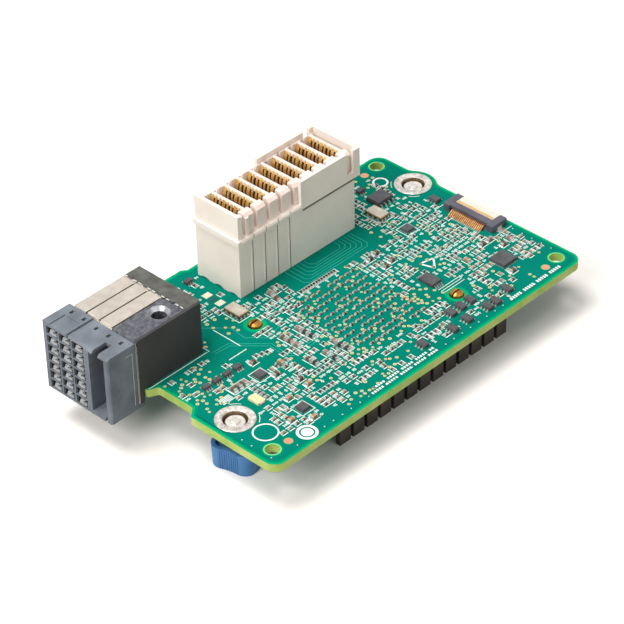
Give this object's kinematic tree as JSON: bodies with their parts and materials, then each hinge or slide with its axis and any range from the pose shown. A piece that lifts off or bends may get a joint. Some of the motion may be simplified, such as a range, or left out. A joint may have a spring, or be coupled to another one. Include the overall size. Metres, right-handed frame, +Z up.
{
  "type": "ethernet adapter card",
  "caption": "Small server adapter card: green board with a tall wafer connector, a grey right-angle backplane connector, a flat-cable socket, heat sink and captive thumbscrews.",
  "frame": {"origin": "centre of the bounding box in plan, at the level of the heat sink's blade tips and the knobs' undersides, on which the card lies", "axes": "+X along the long edge, away from the backplane connector; +Y across the card towards the tall connector; +Z up, out of the component side"},
  "size_m": [0.1119, 0.0644, 0.0337],
  "materials": {
    "board": "green solder mask over glass laminate",
    "ivory": "moulded liquid-crystal polymer",
    "gold": "gold plate",
    "grey_plastic": "moulded, satin",
    "light_grey": "moulded, satin",
    "die_cast": "rough die casting",
    "black_plastic": "moulded",
    "dark_steel": "stamped",
    "cream_plastic": "moulded",
    "tin": "tin plate",
    "steel": "machined",
    "anodised": "anodised extrusion",
    "pad": "soft filled silicone",
    "pin_brass": "turned",
    "knob_blue": "moulded, ribbed",
    "chip_black": "moulded epoxy",
    "ceramic_base": "fired ceramic",
    "ceramic_lid": "metal lid in a gilt rim",
    "tantalum": "moulded epoxy",
    "capacitor": "fired ceramic with tinned ends",
    "resistor": "glazed film with tinned ends"
  },
  "bodies": {
    "card": {"circuit_board": "board", "mezzanine_base": "ivory", "mezzanine_shroud": "ivory", "mezzanine_wafers": "ivory", "mezzanine_contacts": "gold", "backplane_housing": "grey_plastic", "backplane_contacts": "light_grey", "backplane_wafers": "ivory", "guide_block": "die_cast", "side_plate": "black_plastic", "stiffener": "dark_steel", "cable_socket": "black_plastic", "cable_contacts": "gold", "cable_hold_downs": "tin", "controller_chip": "chip_black", "thermal_pad": "pad", "heat_sink": "anodised", "push_pin_left": "pin_brass", "push_pin_right": "pin_brass", "pin_spring_left": "steel", "pin_spring_right": "steel", "front_ferrule": "steel", "rear_ferrule": "steel", "memory_chip": "chip_black", "memory_chip_leads": "tin", "regulator_chip": "chip_black", "regulator_chip_leads": "tin", "power_chip": "chip_black", "small_power_chips": "chip_black", "logic_chips": "chip_black", "oscillator_bases": "ceramic_base", "oscillator_lids": "ceramic_lid", "tantalum_capacitor": "tantalum", "large_capacitors": "capacitor", "small_capacitors": "capacitor", "small_resistors": "resistor"},
    "front_float": {"front_washer": "steel"},
    "front_turn": {"front_screw": "steel", "front_knob": "knob_blue"},
    "rear_float": {"rear_washer": "steel"},
    "rear_turn": {"rear_screw": "steel", "rear_knob": "knob_blue"},
    "latch": {"cable_latch": "cream_plastic"}
  },
  "joints": [
    {"name": "front_screw_slide", "type": "slide", "parent": "card", "child": "front_float", "axis": [0, 0, 1], "range_m": [0, 0.0019]},
    {"name": "front_screw_turn", "type": "hinge", "parent": "front_float", "child": "front_turn", "pos_m": [-0.04025, -0.0148, 0.0055], "axis": [0, 0, 1], "continuous": true},
    {"name": "rear_screw_slide", "type": "slide", "parent": "card", "child": "rear_float", "axis": [0, 0, 1], "range_m": [0, 0.0019]},
    {"name": "rear_screw_turn", "type": "hinge", "parent": "rear_float", "child": "rear_turn", "pos_m": [0.05025, 0.0165, 0.0055], "axis": [0, 0, 1], "continuous": true},
    {"name": "cable_latch_hinge", "type": "hinge", "parent": "card", "child": "latch", "pos_m": [0.05185, -0.00315, 0.0134], "axis": [0, 1, 0], "range_deg": [0, 90]}
  ]
}
